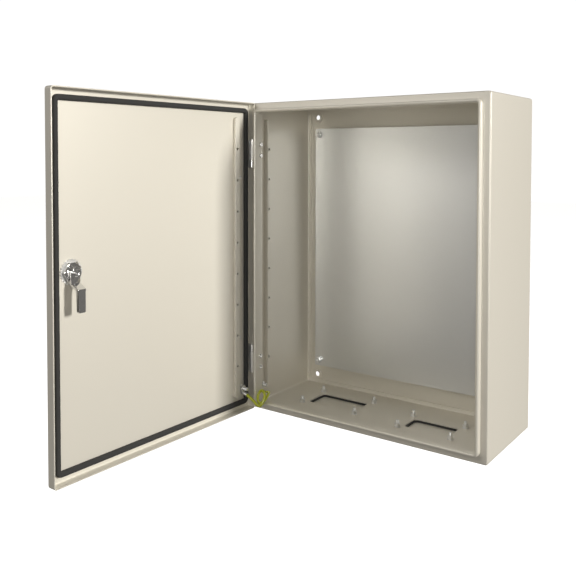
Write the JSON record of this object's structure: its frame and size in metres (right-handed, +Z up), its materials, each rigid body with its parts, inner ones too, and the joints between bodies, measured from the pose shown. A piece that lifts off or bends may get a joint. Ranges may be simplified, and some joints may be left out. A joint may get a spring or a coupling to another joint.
{
  "type": "dc combiner box",
  "caption": "Wall-mounted sheet steel box with a hinged, gasketed door standing open on a bare mounting plate, for joining direct-current cables.",
  "frame": {"origin": "middle of the four wall fixing holes, on the back face that lies against the wall", "axes": "+Z up, +Y into the wall, so the open front faces -Y and the hinges are at -X"},
  "size_m": [0.4146, 0.5728, 0.505],
  "materials": {
    "powder_coat": "fine textured powder coat, warm light beige",
    "galvanised_sheet": "galvanised sheet with faint rolling lines",
    "zinc_plate": "bright zinc plate",
    "bright_steel": "polished steel",
    "lock_plating": "satin nickel plate on die-cast zinc",
    "tinned_copper": "tin plate",
    "foam_gasket": "foamed-in-place polyurethane, matt black",
    "wire_insulation": "soft insulation, yellow with green stripes"
  },
  "bodies": {
    "cabinet": {"front_frame": "powder_coat", "wall_left": "powder_coat", "wall_right": "powder_coat", "wall_top": "powder_coat", "floor_wall": "powder_coat", "rear_frame": "powder_coat", "back_panel": "powder_coat", "side_rail_left": "powder_coat", "side_rail_right": "powder_coat", "plate_studs": "zinc_plate", "plate_collars": "zinc_plate", "mounting_plate": "galvanised_sheet", "plate_washers": "zinc_plate", "plate_nuts": "zinc_plate", "gland_plate_left": "powder_coat", "gland_plate_right": "powder_coat", "gland_gasket_left": "foam_gasket", "gland_gasket_right": "foam_gasket", "gland_washers": "zinc_plate", "gland_nuts": "zinc_plate", "hinge_frame_leaves": "zinc_plate", "hinge_pins": "bright_steel", "hinge_screws": "zinc_plate", "body_bond_stud": "zinc_plate", "body_bond_washer": "zinc_plate", "body_bond_nut": "zinc_plate", "body_lug": "tinned_copper", "bonding_wire": "wire_insulation"},
    "door": {"door_skin": "powder_coat", "door_gasket": "foam_gasket", "door_stiffener": "powder_coat", "stiffener_screws": "zinc_plate", "hinge_door_leaves": "zinc_plate", "lock_housing": "lock_plating", "lock_washer": "zinc_plate", "lock_nut": "lock_plating", "door_bond_stud": "zinc_plate", "door_bond_washer": "zinc_plate", "door_bond_nut": "zinc_plate", "door_lug": "tinned_copper"},
    "lock": {"lock_rotor": "lock_plating", "cam": "lock_plating", "cam_bolt": "lock_plating"}
  },
  "joints": [
    {"name": "door_hinge", "type": "hinge", "parent": "cabinet", "child": "door", "pos_m": [-0.1912, -0.1816, 0], "axis": [0, 0, -1], "range_deg": [-91.5, 5.5], "deforming": ["bonding_wire"]},
    {"name": "lock_turn", "type": "hinge", "parent": "door", "child": "lock", "pos_m": [-0.20788, -0.53599, 0.017], "axis": [-0.9997, 0.0262, 0], "range_deg": [0, 36]}
  ]
}
